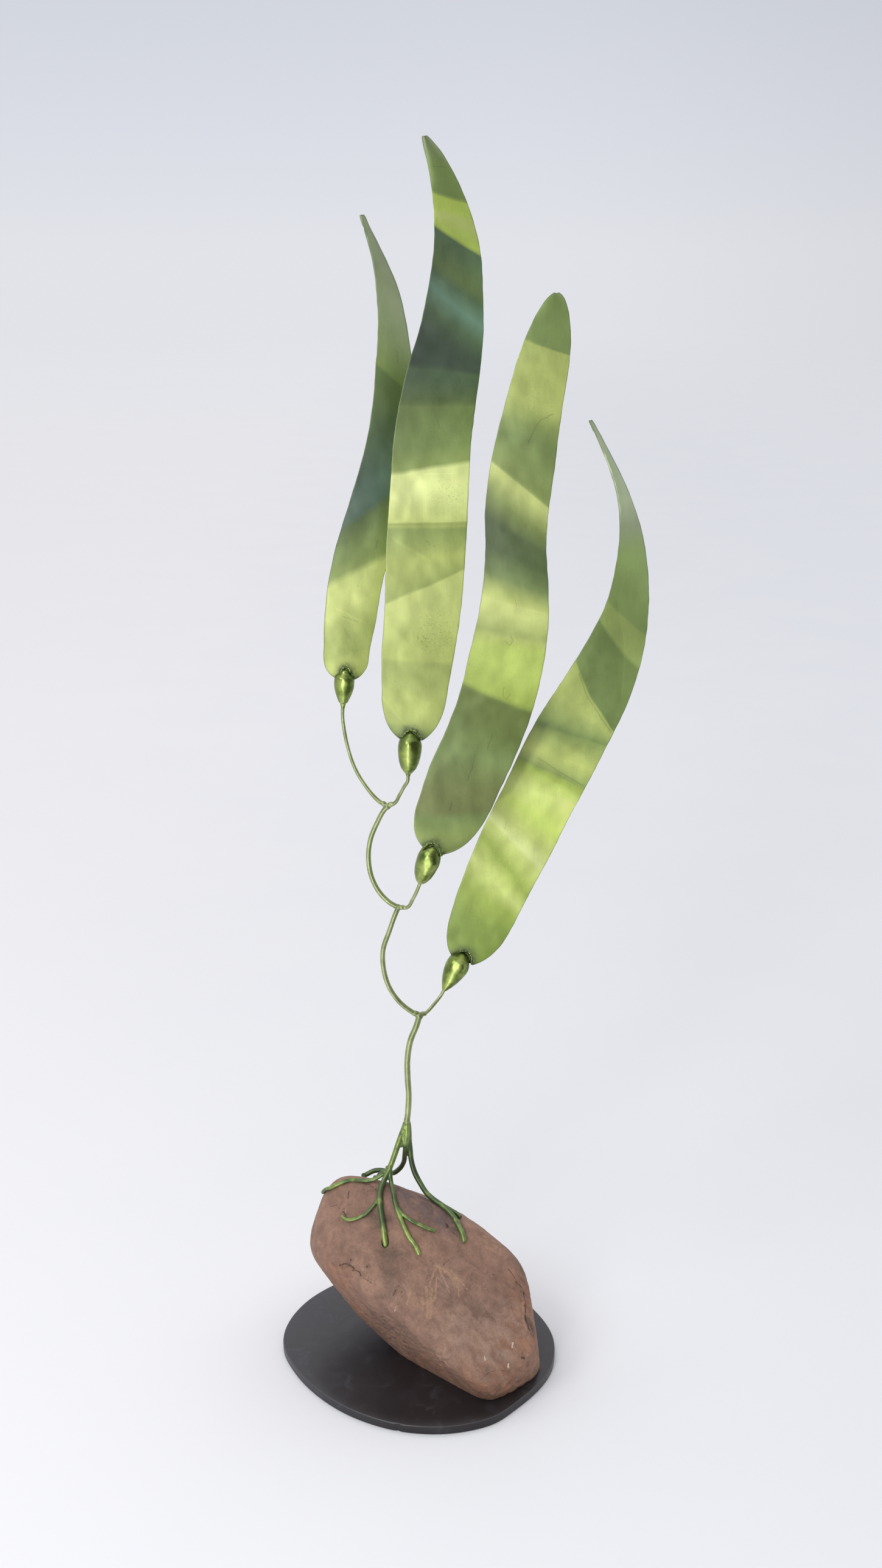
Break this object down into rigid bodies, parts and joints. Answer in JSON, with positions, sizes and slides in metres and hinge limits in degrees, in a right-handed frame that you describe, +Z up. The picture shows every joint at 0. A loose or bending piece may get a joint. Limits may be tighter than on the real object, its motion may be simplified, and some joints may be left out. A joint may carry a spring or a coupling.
{
  "type": "kelp sculpture",
  "caption": "Welded, painted steel kelp sculpture: long waved blades on teardrop floats, a forked rod stem, and rod roots gripping a stone on a round dark steel plate.",
  "frame": {"origin": "middle of the base plate's underside", "axes": "+Z up the kelp, -Y towards the front, +X to the front's right"},
  "size_m": [0.3619, 0.2805, 1.191],
  "materials": {
    "base_plate": "hot-blackened steel plate, satin, a little cloudy",
    "stone": "water-worn reddish-brown stone, dull, with cracks, pits and pale scratches",
    "anchor_pin": "bare drawn steel",
    "rods": "clear green candy paint over ground steel, glossy",
    "floats": "clear green candy paint over forged steel, glossy, heat-darkened at the weld",
    "blades": "clear green candy paint over brushed sheet steel, satin gloss",
    "roots": "deep green candy paint over steel rod, glossy"
  },
  "bodies": {
    "root": {"base_plate": "base_plate", "stone": "stone", "anchor_pin": "anchor_pin", "main_stipe": "rods", "stipe_2": "rods", "stipe_3": "rods", "branch_1": "rods", "branch_2": "rods", "branch_3": "rods", "branch_4": "rods", "float_1": "floats", "float_2": "floats", "float_3": "floats", "float_4": "floats", "blade_1": "blades", "blade_2": "blades", "blade_3": "blades", "blade_4": "blades", "root_loop": "roots", "root_centre": "roots", "root_right": "roots", "root_front": "roots", "root_left": "roots", "root_stub": "roots", "root_curl": "roots", "root_twig": "roots", "root_back": "roots"}
  },
  "joints": []
}
